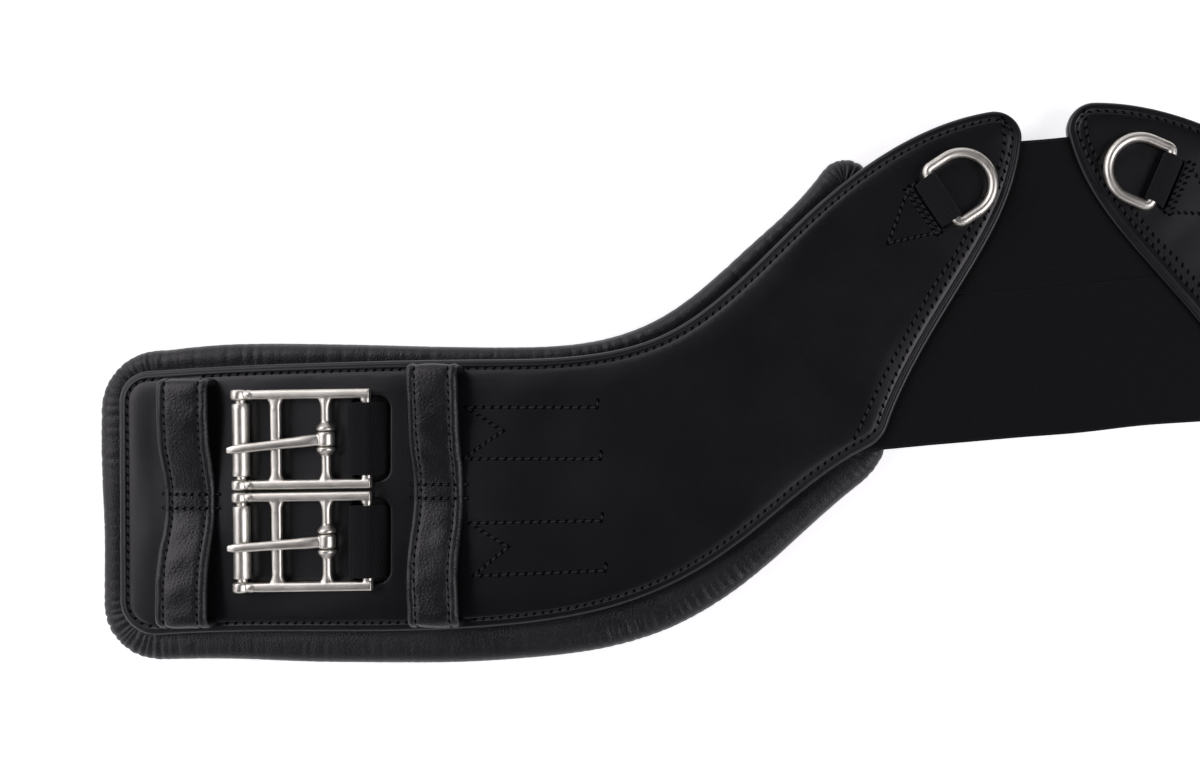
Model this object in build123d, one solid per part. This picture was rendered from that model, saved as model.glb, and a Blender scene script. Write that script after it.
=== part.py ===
from build123d import *
import math
import os

# Anatomical saddle girth lying flat, buckle side up, all lengths in millimetres.
# +X runs along the girth to its right end, +Y is the edge that faces the horse's
# forelegs, +Z points away from the horse. The origin is at the bottom centre.
# The left half is modelled and the right half is its mirror image.

# layers, from the liner that lies on the horse up to the top panel
LINER_TOP = 9.0
BACKING_TOP = 10.2
CORE_TOP = 12.2
PANEL_TOP = 15.0
COVER_SKIN = 1.3
LAYER_GAP = 0.05
POCKET_GAP = 0.5
EDGE_ROUND = 3.0
CORE_INSET = 5.5
INSET_POINTS = 90
# cutters and joined shapes run past each other by this much
OVERLAP = 1.0
FAR = 120.0

# the arm: the straight part of a half, which carries keepers and buckles.
# Its own x runs from the panel's outer edge towards the centre of the girth.
ARM_TILT = 5.0
ARM_ORIGIN = (-319.4, -20.2)

# panel outline, starting at the outer front corner and going clockwise
PANEL_FRONT = [(-304.5, 23.0), (-247.0, 20.8), (-196.0, 17.4), (-161.0, 15.6), (-133.5, 20.0),
               (-105.5, 36.6), (-77.0, 59.6), (-48.5, 76.7), (-18.0, 85.0)]
PANEL_TIP = [(-18.0, 85.0), (-10.0, 82.1), (-7.5, 76.0)]
PANEL_SLANT = [(-7.5, 76.0), (-13.6, 56.2), (-32.5, 27.0), (-50.5, 1.6), (-60.0, -15.5)]
PANEL_INNER = [(-60.0, -15.5), (-62.8, -20.1), (-67.6, -23.2)]
PANEL_REAR = [(-67.6, -23.2), (-91.5, -36.4), (-113.0, -51.0), (-134.0, -62.0), (-158.0, -69.2),
              (-188.7, -72.1), (-244.0, -69.8), (-309.0, -65.2)]
PANEL_OUTER_REAR = [(-309.0, -65.2), (-318.2, -61.6), (-321.6, -54.0)]
PANEL_OUTER_FRONT = [(-316.0, 14.0), (-312.8, 20.4), (-304.5, 23.0)]

# liner outline, which stands 7 to 11 mm outside the panel along the arm
LINER_FRONT = [(-302.0, 30.4), (-250.0, 28.0), (-202.7, 22.6), (-162.0, 20.5), (-134.0, 26.6),
               (-105.0, 45.8), (-83.0, 63.2), (-75.8, 70.6)]
LINER_TIP = [(-75.8, 70.6), (-66.5, 74.9), (-58.0, 67.0)]
LINER_INNER = [(-60.2, -20.0), (-64.0, -28.8), (-71.5, -36.0)]
LINER_REAR = [(-71.5, -36.0), (-93.0, -51.8), (-115.0, -67.2), (-143.0, -80.0), (-181.0, -85.0),
              (-220.0, -83.8), (-259.0, -80.0), (-311.0, -74.8)]
LINER_OUTER_REAR = [(-311.0, -74.8), (-325.2, -68.6), (-330.4, -55.0)]
LINER_OUTER_FRONT = [(-325.6, 10.0), (-319.6, 25.0), (-302.0, 30.4)]

# strap keepers: one strap each, raised into two loops and sewn down between them
KEEPER_WIDTH = 16.5
KEEPER_THICK = 2.4
KEEPER_TOP = 22.3
KEEPER_SHOULDER = 2.5
KEEPER_SLOPE = 18.0
KEEPER_TAIL = 8.0
KEEPER_SLOT_GAP = 0.1
KEEPER_POCKET_REACH = 10.0
OUTER_KEEPER = {"x": 25.3, "front": 41.6, "rear": -40.8, "sewn": (3.3, -1.3)}
INNER_KEEPER = {"x": 107.8, "front": 45.8, "rear": -40.6, "sewn": (6.6, 2.0)}

# double-bar roller buckle for 25 mm billets. Its own x runs from its roller end
BUCKLE_Z = 18.3
BUCKLE_LENGTH = 46.3
BUCKLE_INSIDE = 26.5
SIDE_BAR_WIDTH = 3.3
SIDE_BAR_HEIGHT = 3.4
CROSS_HEIGHT = 2.6
ROLLER_X = 3.2
ROLLER_RADIUS = 2.8
ROLLER_LENGTH = 24.2
AXLE_RADIUS = 1.6
RUNNING_GAP = 0.05
HUB_RADIUS = 2.5
MIDDLE_BAR_X = 14.8
MIDDLE_BAR_WIDTH = 3.4
TONGUE_BAR_X = 31.3
TONGUE_BAR_RADIUS = 1.5
END_BAR_X = 44.8
END_BAR_WIDTH = 2.7
WINDOW_CORNER = 1.7
END_FOOT = 0.9
END_FOOT_LENGTH = 3.6
END_FOOT_HEIGHT = 2.4
SIDE_BAR_ROUND = 1.1
SIDE_BAR_START = 0.6
TONGUE_BAR_ROUND_HALF = 9.0
COLLAR_RADIUS = 3.1
COLLAR_INNER = 2.6
COLLAR_WIDTH = 3.0
TONGUE_EYE_WIDTH = 4.9
TONGUE_EYE_WALL = 1.3
TONGUE_BLANK = 8.0
TONGUE_REACH = 32.8
BUCKLE_TILT = 0.8
BUCKLES = {
    "front": {"x": 39.6, "y": 21.3, "elastic_y": 21.8, "tongue_yaw": 5.9},
    "rear": {"x": 40.0, "y": -12.6, "elastic_y": -12.3, "tongue_yaw": 3.0},
}

# buckle elastic: one ribbed strip folded round the buckle's end bar
ELASTIC_WIDTH = 24.0
ELASTIC_THICK = 0.9
ELASTIC_BAR_GAP = 0.2
ELASTIC_LOOP = 6.1
ELASTIC_TAIL_END = 162.0
WINDOW_LEFT = 78.5
WINDOW_RIGHT = 91.2
WINDOW_HEIGHT = 28.0
WINDOW_RADIUS = 4.0

# D-ring. Its own x points from its straight bar to the middle of its curve
D_ORIGIN = (-36.5, 57.3)
D_ANGLE = 28.2
D_Z = 17.8
D_WIRE = 1.7
D_HALF_WIDTH = 10.5
D_CURVE_CENTRE = 7.8
D_CORNER = 1.9
TAPE_WIDTH = 16.8
TAPE_THICK = 0.8
TAPE_SLOT = (-5.4, -3.4)
TAPE_SLOT_GAP = 0.15
TAPE_TAIL_END = -20.0

# centre elastic: two ribbed bands side by side, sewn in behind the slanted edge
BAND_WIDTH = 49.4
BAND_FRONT_EDGE = 74.6
BAND_JOIN_GAP = 0.3
BAND_TUCK = 15.0


def outline(front, tip, slant, inner, rear, outer_rear, outer_front):
    """Closed face of one half: splines along the edges, arcs round the corners."""
    edges = Curve() + [
        Spline(*front), ThreePointArc(*tip), slant, ThreePointArc(*inner),
        Spline(*rear), ThreePointArc(*outer_rear),
        Line(outer_rear[2], outer_front[0]), ThreePointArc(*outer_front),
    ]
    return make_face(edges)


def inset(face, amount):
    """Face of the same shape with its edge moved in, through evenly spaced points."""
    wire = face.face().outer_wire()
    left_side = wire @ 0.5 + (wire % 0.5).rotate(Axis.Z, 90)
    turn = 90 if face.face().is_inside(left_side) else -90
    points = []
    for i in range(INSET_POINTS):
        t = i / INSET_POINTS
        points.append(wire @ t + (wire % t).rotate(Axis.Z, turn) * amount)
    return make_face(Spline(*points, periodic=True))


def slab(face, bottom, top):
    return extrude(Pos(0, 0, bottom) * face, amount=top - bottom)


def arm(x=0.0, y=0.0, z=0.0, tilt=0.0):
    """Place in the arm's own frame."""
    return Pos(ARM_ORIGIN[0], ARM_ORIGIN[1], 0) * Rot(0, 0, -ARM_TILT) * Pos(x, y, z) * Rot(0, 0, tilt)


def across(points, width):
    """Prism along y, centred on y = 0, from a profile of (x, z) points."""
    face = make_face(Polyline(*points, close=True))
    return extrude(Plane.XZ * face, amount=width / 2, both=True)


def rod(radius, length, x=0.0, z=0.0):
    """Cylinder along y, centred on y = 0."""
    return Pos(x, 0, z) * Rot(90, 0, 0) * Cylinder(radius, length)


def block(x0, x1, y0, y1, z0, z1):
    return Pos((x0 + x1) / 2, (y0 + y1) / 2, (z0 + z1) / 2) * Box(x1 - x0, y1 - y0, z1 - z0)


panel_face = outline(PANEL_FRONT, PANEL_TIP, Spline(*PANEL_SLANT), PANEL_INNER, PANEL_REAR,
                     PANEL_OUTER_REAR, PANEL_OUTER_FRONT)
liner_face = outline(LINER_FRONT, LINER_TIP, Line(LINER_TIP[2], LINER_INNER[0]), LINER_INNER,
                     LINER_REAR, LINER_OUTER_REAR, LINER_OUTER_FRONT)


def keeper_profile(keeper):
    """(y, z) outline of the strap: tail, leg, raised loop, sewn middle, loop, leg, tail."""
    low, high, tail_top = BACKING_TOP + LAYER_GAP, KEEPER_TOP, CORE_TOP - LAYER_GAP
    t, shoulder = KEEPER_THICK, KEEPER_SHOULDER
    front, rear, (sewn_front, sewn_rear) = keeper["front"], keeper["rear"], keeper["sewn"]
    slope_front, slope_rear = sewn_front + KEEPER_SLOPE, sewn_rear - KEEPER_SLOPE
    sewn_z = PANEL_TOP + LAYER_GAP + t
    upper = [
        (front, low), (front, high - shoulder), (front - shoulder, high),
        (slope_front, high), (sewn_front, sewn_z),
        (sewn_rear, sewn_z), (slope_rear, high),
        (rear + shoulder, high), (rear, high - shoulder), (rear, low),
    ]
    lower = [
        (rear + KEEPER_TAIL, low), (rear + KEEPER_TAIL, tail_top), (rear + t, tail_top),
        (rear + t, high - t), (slope_rear, high - t),
        (sewn_rear, sewn_z - t), (sewn_front, sewn_z - t),
        (slope_front, high - t), (front - t, high - t),
        (front - t, tail_top), (front - KEEPER_TAIL, tail_top), (front - KEEPER_TAIL, low),
    ]
    return upper + lower


def make_keeper(keeper):
    face = make_face(Polyline(*keeper_profile(keeper), close=True))
    return arm(keeper["x"]) * extrude(Plane.YZ * face, amount=KEEPER_WIDTH / 2, both=True)


def keeper_slots(keeper):
    """Cutters for the two slots in the top panel that the keeper's legs pass through."""
    half = KEEPER_WIDTH / 2 + KEEPER_SLOT_GAP
    reach = KEEPER_THICK + KEEPER_SLOT_GAP
    z0, z1 = CORE_TOP - OVERLAP, PANEL_TOP + OVERLAP
    front, rear = keeper["front"], keeper["rear"]
    cutters = [block(-half, half, front - reach, front + KEEPER_SLOT_GAP, z0, z1),
               block(-half, half, rear - KEEPER_SLOT_GAP, rear + reach, z0, z1)]
    return [arm(keeper["x"]) * cutter for cutter in cutters]


def keeper_pockets(keeper):
    """Cutters for the room that the keeper's tails take in the core layer."""
    half = KEEPER_WIDTH / 2 + KEEPER_SLOT_GAP
    reach = KEEPER_POCKET_REACH
    z0, z1 = BACKING_TOP - OVERLAP, CORE_TOP + OVERLAP
    front, rear = keeper["front"], keeper["rear"]
    cutters = [block(-half, half, front - KEEPER_TAIL - KEEPER_SLOT_GAP, front + reach, z0, z1),
               block(-half, half, rear - reach, rear + KEEPER_TAIL + KEEPER_SLOT_GAP, z0, z1)]
    return [arm(keeper["x"]) * cutter for cutter in cutters]


def make_buckle_frame():
    """Cast frame: side bars, three cross members, the roller's axle and the tongue's collars."""
    half_in = BUCKLE_INSIDE / 2
    half_out = half_in + SIDE_BAR_WIDTH
    plate = Pos(BUCKLE_LENGTH / 2, 0) * Rectangle(BUCKLE_LENGTH - 2 * OVERLAP, 2 * (half_out - OVERLAP))
    edges = [
        (-WINDOW_CORNER - OVERLAP, MIDDLE_BAR_X - MIDDLE_BAR_WIDTH / 2),
        (MIDDLE_BAR_X + MIDDLE_BAR_WIDTH / 2, TONGUE_BAR_X - TONGUE_BAR_RADIUS),
        (TONGUE_BAR_X + TONGUE_BAR_RADIUS, END_BAR_X - END_BAR_WIDTH / 2),
    ]
    for x0, x1 in edges:
        plate -= Pos((x0 + x1) / 2, 0) * RectangleRounded(x1 - x0, BUCKLE_INSIDE, WINDOW_CORNER)
    frame = extrude(plate, amount=CROSS_HEIGHT / 2, both=True)
    reach, length = TONGUE_BAR_RADIUS + OVERLAP / 2, TONGUE_BAR_ROUND_HALF
    frame -= block(TONGUE_BAR_X - reach, TONGUE_BAR_X + reach, -length, length, -CROSS_HEIGHT, CROSS_HEIGHT)
    bar = Plane.YZ * RectangleRounded(SIDE_BAR_WIDTH, SIDE_BAR_HEIGHT, SIDE_BAR_ROUND)
    foot = block(BUCKLE_LENGTH - END_FOOT_LENGTH, BUCKLE_LENGTH, half_in - END_FOOT, half_in + OVERLAP,
                 -END_FOOT_HEIGHT / 2, END_FOOT_HEIGHT / 2)
    for side in (1, -1):
        y = side * (half_in + SIDE_BAR_WIDTH / 2)
        frame += Pos(SIDE_BAR_START, y, 0) * extrude(bar, amount=BUCKLE_LENGTH - SIDE_BAR_START)
        frame += Pos(0, y, 0) * rod(HUB_RADIUS, SIDE_BAR_WIDTH, ROLLER_X)
        frame += foot if side > 0 else mirror(foot, about=Plane.XZ)
        y = side * (COLLAR_INNER + COLLAR_WIDTH / 2)
        frame += Pos(0, y, 0) * rod(COLLAR_RADIUS, COLLAR_WIDTH, TONGUE_BAR_X)
    frame += rod(TONGUE_BAR_RADIUS, BUCKLE_INSIDE + 2 * OVERLAP, TONGUE_BAR_X)
    frame += rod(AXLE_RADIUS, BUCKLE_INSIDE + 2 * OVERLAP, ROLLER_X)
    return frame


def make_roller():
    tube = rod(ROLLER_RADIUS, ROLLER_LENGTH, ROLLER_X)
    return tube - rod(AXLE_RADIUS + RUNNING_GAP, ROLLER_LENGTH + OVERLAP, ROLLER_X)


def make_tongue(yaw):
    """Forged tongue: an eye on the tongue bar and a shank that lies on the roller."""
    hole = TONGUE_BAR_RADIUS + RUNNING_GAP
    eye = hole + TONGUE_EYE_WALL
    tip = -TONGUE_REACH
    # (x, z) outline from the eye along the underside to the tip and back along the top
    side = [(0.5, 0.4), (-2.7, 0.5), (tip + 4.7, 2.95), (tip + 1.2, 2.6), (tip, 3.2),
            (tip + 0.3, 4.3), (tip + 2.4, 5.1), (-9.0, 3.9), (-3.0, 2.9), (0.5, eye)]
    # (x, y) outline of one edge, then the other
    plan = [(3.0, -2.1), (-5.5, -2.1), (-9.0, -2.0), (-20.0, -1.6), (tip + 1.5, -1.4)]
    plan += [(tip, -0.6), (tip, 0.6)] + [(x, -y) for x, y in reversed(plan)]
    shank = across(side, TONGUE_BLANK) & extrude(make_face(Polyline(*plan, close=True)), amount=TONGUE_BLANK)
    tongue = Rot(0, 0, yaw) * shank + rod(eye, TONGUE_EYE_WIDTH)
    return Pos(TONGUE_BAR_X, 0, 0) * (tongue - rod(hole, TONGUE_EYE_WIDTH + OVERLAP))


def elastic_path(end_bar_x):
    """Middle line of the elastic strip in the arm's (x, z): tail, loop round the bar, tail.
    It comes up at the window's inner edge and stays clear of the panel and of the bar."""
    half = ELASTIC_THICK / 2
    z_up, z_down = CORE_TOP - LAYER_GAP - half, BACKING_TOP + LAYER_GAP + half
    reach = CROSS_HEIGHT / 2 + ELASTIC_BAR_GAP + half
    fold = end_bar_x - ELASTIC_LOOP + half
    return [
        (ELASTIC_TAIL_END, z_up), (WINDOW_RIGHT - 0.5, z_up), (WINDOW_RIGHT - 2.2, z_up + 1.0),
        (end_bar_x + 3.0, BUCKLE_Z + reach - 0.9), (end_bar_x, BUCKLE_Z + reach),
        (fold + 2.0, BUCKLE_Z + reach - 0.2), (fold, BUCKLE_Z + 0.7), (fold, BUCKLE_Z - 0.7),
        (fold + 2.0, BUCKLE_Z - reach), (end_bar_x + 1.2, BUCKLE_Z - reach),
        (WINDOW_RIGHT - 3.0, z_down + 1.2), (WINDOW_RIGHT - 0.6, z_down), (ELASTIC_TAIL_END, z_down),
    ]


def make_buckle_elastic(buckle):
    path = Polyline(*elastic_path(buckle["x"] + END_BAR_X))
    strip = trace(path, line_width=ELASTIC_THICK)
    solid = extrude(Plane.XZ * strip, amount=ELASTIC_WIDTH / 2, both=True)
    return arm(0, buckle["elastic_y"]) * solid


def elastic_window(buckle):
    """Cutter for the opening in the top panel that the elastic comes up through."""
    width = WINDOW_RIGHT - WINDOW_LEFT
    hole = RectangleRounded(width, WINDOW_HEIGHT, WINDOW_RADIUS)
    place = arm((WINDOW_LEFT + WINDOW_RIGHT) / 2, buckle["elastic_y"])
    return place * slab(hole, CORE_TOP - OVERLAP, PANEL_TOP + OVERLAP)


def elastic_pocket(buckle):
    """Cutter for the room that the elastic's tail takes in the core layer."""
    half = WINDOW_HEIGHT / 2
    pocket = block(WINDOW_LEFT, ELASTIC_TAIL_END + POCKET_GAP, -half, half,
                   BACKING_TOP - OVERLAP, CORE_TOP + OVERLAP)
    return arm(0, buckle["elastic_y"]) * pocket


def d_frame():
    return Pos(D_ORIGIN[0], D_ORIGIN[1], 0) * Rot(0, 0, D_ANGLE)


def make_d_ring():
    """Round wire bent to a D, with its straight bar on the frame's y axis."""
    w, c, r = D_HALF_WIDTH, D_CURVE_CENTRE, D_CORNER
    s = r * (1 - math.sqrt(0.5))
    path = Wire([
        Line((0, r - w), (0, w - r)), ThreePointArc((0, w - r), (s, w - s), (r, w)),
        Line((r, w), (c, w)), ThreePointArc((c, w), (c + w, 0), (c, -w)),
        Line((c, -w), (r, -w)), ThreePointArc((r, -w), (s, s - w), (0, r - w)),
    ])
    section = Plane(origin=(0, 0, 0), z_dir=(0, 1, 0)) * Circle(D_WIRE)
    return d_frame() * Pos(0, 0, D_Z) * sweep(section, path=path)


def make_tape():
    """Doubled webbing: a loop round the D-ring's bar, a neck and a tail under the panel."""
    inner = D_WIRE + RUNNING_GAP
    outer = inner + TAPE_THICK
    low, tail_top = BACKING_TOP + LAYER_GAP, CORE_TOP - LAYER_GAP
    left, right = TAPE_SLOT
    # (x, z) outline: over the ring's bar, down the slot to the tail, and back under the bar
    neck = [
        (0, D_Z + outer), (-2.0, D_Z + 1.8), (left, PANEL_TOP + 0.4), (left, tail_top),
        (TAPE_TAIL_END, tail_top), (TAPE_TAIL_END, low), (right, low), (right, PANEL_TOP + 0.1),
        (-1.0, PANEL_TOP + 0.25), (0, D_Z - outer),
    ]
    solid = across(neck, TAPE_WIDTH) + rod(outer, TAPE_WIDTH, 0, D_Z)
    return d_frame() * (solid - rod(inner, TAPE_WIDTH + OVERLAP, 0, D_Z))


def tape_slot():
    left, right = TAPE_SLOT
    half = TAPE_WIDTH / 2 + TAPE_SLOT_GAP
    return d_frame() * block(left - TAPE_SLOT_GAP, right + TAPE_SLOT_GAP, -half, half,
                             CORE_TOP - OVERLAP, PANEL_TOP + OVERLAP)


def tape_pocket():
    half = TAPE_WIDTH / 2 + TAPE_SLOT_GAP
    return d_frame() * block(TAPE_TAIL_END - TAPE_SLOT_GAP, TAPE_SLOT[1] + TAPE_SLOT_GAP, -half, half,
                             BACKING_TOP - OVERLAP, CORE_TOP + OVERLAP)


def band_end(y):
    """X of the left end of a centre band at y: a straight cut behind the slanted edge."""
    (x0, y0), (x1, y1) = PANEL_SLANT[1], PANEL_SLANT[4]
    return x0 + (x1 - x0) * (y - y0) / (y1 - y0) - BAND_TUCK


def band_outline(front, rear):
    """Plan of a centre band."""
    left = [(band_end(rear), rear), (band_end(front), front)]
    return left + [(-x, y) for x, y in reversed(left)]


def band_pocket():
    """Cutter for the room that both bands take in the core layer."""
    rear, front = rear_edge - OVERLAP, FAR
    left = [(band_end(rear) - POCKET_GAP, rear), (band_end(front) - POCKET_GAP, front)]
    face = make_face(Polyline(*left, (FAR, front), (FAR, rear), close=True))
    return slab(face, BACKING_TOP - OVERLAP, CORE_TOP + OVERLAP)


def make_band(front, rear):
    face = make_face(Polyline(*band_outline(front, rear), close=True))
    return slab(face, BACKING_TOP + LAYER_GAP, CORE_TOP - LAYER_GAP)


front_edge = BAND_FRONT_EDGE
middle = front_edge - BAND_WIDTH
rear_edge = middle - BAND_WIDTH
bands = {
    "centre_elastic_front": make_band(front_edge, middle + BAND_JOIN_GAP / 2),
    "centre_elastic_rear": make_band(middle - BAND_JOIN_GAP / 2, rear_edge),
}

cover = fillet(slab(liner_face, 0, LINER_TOP).edges().group_by(Axis.Z)[0], EDGE_ROUND)
cover = fillet(cover.edges().group_by(Axis.Z)[-1], EDGE_ROUND)
cavity = slab(inset(liner_face, EDGE_ROUND), COVER_SKIN, LINER_TOP - COVER_SKIN)

top_panel = slab(panel_face, CORE_TOP, PANEL_TOP)
core = slab(inset(panel_face, CORE_INSET), BACKING_TOP, CORE_TOP)
for keeper in (OUTER_KEEPER, INNER_KEEPER):
    for slot in keeper_slots(keeper):
        top_panel -= slot
    for pocket in keeper_pockets(keeper):
        core -= pocket
for buckle in BUCKLES.values():
    top_panel -= elastic_window(buckle)
    core -= elastic_pocket(buckle)
top_panel -= tape_slot()
core -= tape_pocket()
core -= band_pocket()

half_pieces = {
    "liner_cover": cover - cavity,
    "foam_pad": cavity,
    "backing_leather": slab(panel_face, LINER_TOP, BACKING_TOP),
    "interlining": core,
    "top_panel": top_panel,
    "outer_keeper": make_keeper(OUTER_KEEPER),
    "inner_keeper": make_keeper(INNER_KEEPER),
    "d_ring_tape": make_tape(),
    "d_ring": make_d_ring(),
}
for name, buckle in BUCKLES.items():
    place = arm(buckle["x"], buckle["y"], BUCKLE_Z, BUCKLE_TILT)
    half_pieces[f"{name}_buckle_elastic"] = make_buckle_elastic(buckle)
    half_pieces[f"{name}_buckle_frame"] = place * make_buckle_frame()
    half_pieces[f"{name}_roller"] = place * make_roller()
    half_pieces[f"{name}_tongue"] = place * make_tongue(buckle["tongue_yaw"])

os.makedirs("parts", exist_ok=True)
for name, shape in half_pieces.items():
    export_step(shape, f"parts/left_{name}.step")
    export_step(mirror(shape, about=Plane.YZ), f"parts/right_{name}.step")
for name, shape in bands.items():
    export_step(shape, f"parts/{name}.step")
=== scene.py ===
import math
import random

import bmesh
import bpy
import numpy as np
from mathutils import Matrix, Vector
from mathutils.geometry import delaunay_2d_cdt


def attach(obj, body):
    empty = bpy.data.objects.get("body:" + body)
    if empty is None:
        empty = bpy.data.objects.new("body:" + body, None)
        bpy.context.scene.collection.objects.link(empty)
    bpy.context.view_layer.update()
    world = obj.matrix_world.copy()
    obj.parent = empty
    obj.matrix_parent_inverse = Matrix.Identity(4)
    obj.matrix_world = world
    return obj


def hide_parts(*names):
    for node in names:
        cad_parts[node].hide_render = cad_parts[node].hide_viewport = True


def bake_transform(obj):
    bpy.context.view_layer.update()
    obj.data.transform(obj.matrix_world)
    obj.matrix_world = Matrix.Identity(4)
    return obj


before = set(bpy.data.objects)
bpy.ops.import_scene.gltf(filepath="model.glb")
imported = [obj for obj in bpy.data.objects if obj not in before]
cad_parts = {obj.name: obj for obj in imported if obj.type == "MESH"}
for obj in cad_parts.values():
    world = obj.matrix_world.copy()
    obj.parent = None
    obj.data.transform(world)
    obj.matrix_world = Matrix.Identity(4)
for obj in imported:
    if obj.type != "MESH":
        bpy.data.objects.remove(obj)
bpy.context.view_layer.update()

# A saddle girth, modelled in millimetres in the shared frame and written to Blender in metres.
# The left half is built, and the right half is its mirror image.
MM = 0.001
SIDES = {"left": 1, "right": -1}

# layer heights, as in the CAD model
LINER_TOP, BACKING_TOP, CORE_TOP, PANEL_TOP = 9.0, 10.2, 12.2, 15.0
ARM_TILT = math.radians(-5.0)
ARM_ORIGIN = (-319.4, -20.2)
D_ANGLE = math.radians(28.2)
D_ORIGIN = (-36.5, 57.3)
D_Z = 17.8


# -------- small geometry helpers

class Place:
    """A plane frame: an origin and a turn about z. Turns local points into the shared frame's."""

    def __init__(self, origin, angle, z=0.0):
        self.origin = np.array([*origin, z], float)
        c, s = math.cos(angle), math.sin(angle)
        self.turn = np.array([[c, -s, 0], [s, c, 0], [0, 0, 1]])

    def out(self, points):
        return np.asarray(points, float) @ self.turn.T + self.origin


def node_points(node_name):
    """Vertices of a CAD node, in mm."""
    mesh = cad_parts[node_name].data
    co = np.empty(len(mesh.vertices) * 3)
    mesh.vertices.foreach_get("co", co)
    return co.reshape(-1, 3) / MM


ARM = Place(ARM_ORIGIN, ARM_TILT)
D_FRAME = Place(D_ORIGIN, D_ANGLE)


def slice_loops(node_name, z):
    """Closed outlines where a CAD node crosses height z, longest first, as (n, 2) arrays."""
    bm = bmesh.new()
    bm.from_mesh(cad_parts[node_name].data)
    cut = bmesh.ops.bisect_plane(bm, geom=bm.verts[:] + bm.edges[:] + bm.faces[:],
                                 plane_co=(0, 0, z * MM), plane_no=(0, 0, 1))["geom_cut"]
    links = {}
    for e in (g for g in cut if isinstance(g, bmesh.types.BMEdge)):
        a, b = (tuple(round(c / MM, 3) for c in v.co.xy) for v in e.verts)
        if a != b:
            links.setdefault(a, []).append(b)
            links.setdefault(b, []).append(a)
    bm.free()
    loops = []
    while links:
        start = next(iter(links))
        loop, here = [start], start
        while links.get(here):
            there = links[here].pop()
            if here in links.get(there, []):
                links[there].remove(here)
            if there == start:
                break
            loop.append(there)
            here = there
        for p in [k for k, v in links.items() if not v]:
            del links[p]
        if len(loop) > 3:
            loops.append(np.array(loop))
    loops = [anticlockwise(p) for p in loops]
    return sorted(loops, key=lambda p: -perimeter(p))


def anticlockwise(p):
    x, y = p[:, 0], p[:, 1]
    return p if np.sum(x * np.roll(y, -1) - np.roll(x, -1) * y) > 0 else p[::-1]


def perimeter(p):
    return float(np.linalg.norm(np.roll(p, -1, 0) - p, axis=1).sum())


def resample(p, step, closed=True):
    """Points a fixed distance apart along a polyline."""
    q = np.vstack([p, p[:1]]) if closed else np.asarray(p, float)
    s = np.r_[0, np.cumsum(np.linalg.norm(np.diff(q, axis=0), axis=1))]
    n = max(4, int(round(s[-1] / step)))
    at = np.linspace(0, s[-1], n, endpoint=False) if closed else np.linspace(0, s[-1], n + 1)
    return np.stack([np.interp(at, s, q[:, k]) for k in range(q.shape[1])], 1)


def smooth(p, rounds):
    """A closed row of values with its bumps evened out."""
    for _ in range(rounds):
        p = (np.roll(p, 1, 0) + 2 * p + np.roll(p, -1, 0)) / 4
    return p


def normals2(p):
    """Outward unit normals of an anticlockwise loop."""
    t = np.roll(p, -1, 0) - np.roll(p, 1, 0)
    t /= np.linalg.norm(t, axis=1)[:, None] + 1e-12
    return np.stack([t[:, 1], -t[:, 0]], 1)


def offset_loop(p, d):
    """The loop moved outwards by d, inwards when d is negative."""
    return p + normals2(p) * d


def curve(points, step=0.8):
    """Smooth open line through a few control points."""
    p = np.asarray(points, float)
    q = np.vstack([2 * p[0] - p[1], p, 2 * p[-1] - p[-2]])
    out = []
    for a, b, c, d in zip(q, q[1:], q[2:], q[3:]):
        n = max(2, int(np.linalg.norm(c - b) / step))
        t = np.linspace(0, 1, n, endpoint=False)[:, None]
        out.append(0.5 * (2 * b + (c - a) * t + (2 * a - 5 * b + 4 * c - d) * t**2
                          + (3 * b - a - 3 * c + d) * t**3))
    return resample(np.vstack(out + [p[-1:]]), step, closed=False)


def inside(points, loop):
    """Which (n, 2) points lie inside a closed loop."""
    x, y = points[:, 0, None], points[:, 1, None]
    a, b = loop[None], np.roll(loop, -1, 0)[None]
    cross = (a[..., 1] > y) != (b[..., 1] > y)
    at = (b[..., 0] - a[..., 0]) * (y - a[..., 1]) / (b[..., 1] - a[..., 1] + 1e-15) + a[..., 0]
    return (np.sum(cross & (x < at), 1) % 2) == 1


def distance(points, loop):
    """Distance of (n, 2) points from a loop's points."""
    out = np.empty(len(points))
    for i in range(0, len(points), 2000):
        d = points[i:i + 2000, None, :] - loop[None]
        out[i:i + 2000] = np.sqrt((d**2).sum(2).min(1))
    return out


# -------- meshes and pieces

class Soup:
    """Vertices and faces gathered from several shapes, in mm."""

    def __init__(self):
        self.points, self.faces, self.count = [], [], 0

    def add(self, points, faces):
        points = np.asarray(points, float).reshape(-1, 3)
        self.points.append(points)
        self.faces += [tuple(i + self.count for i in f) for f in faces]
        self.count += len(points)
        return self

    def grid(self, rows, wrap_u=False, wrap_v=False):
        """A surface from rows of points, all the same length: shape (rows, columns, 3)."""
        g = np.asarray(rows, float)
        m, n = g.shape[:2]
        faces = []
        for i in range(m if wrap_v else m - 1):
            for j in range(n if wrap_u else n - 1):
                a, b = i * n + j, i * n + (j + 1) % n
                c, d = ((i + 1) % m) * n + (j + 1) % n, ((i + 1) % m) * n + j
                faces.append((a, b, c, d))
        return self.add(g.reshape(-1, 3), faces)

    def all(self):
        return np.vstack(self.points), self.faces


def ringed(rows, closed=False):
    """Closed surface over rings of points, joined end to end or with a face over each end."""
    soup = Soup().grid(rows, wrap_u=True, wrap_v=closed)
    if not closed:
        m, n = np.shape(rows)[:2]
        soup.faces += [tuple(range(n))[::-1], tuple(range((m - 1) * n, m * n))]
    return soup.all()


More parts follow.
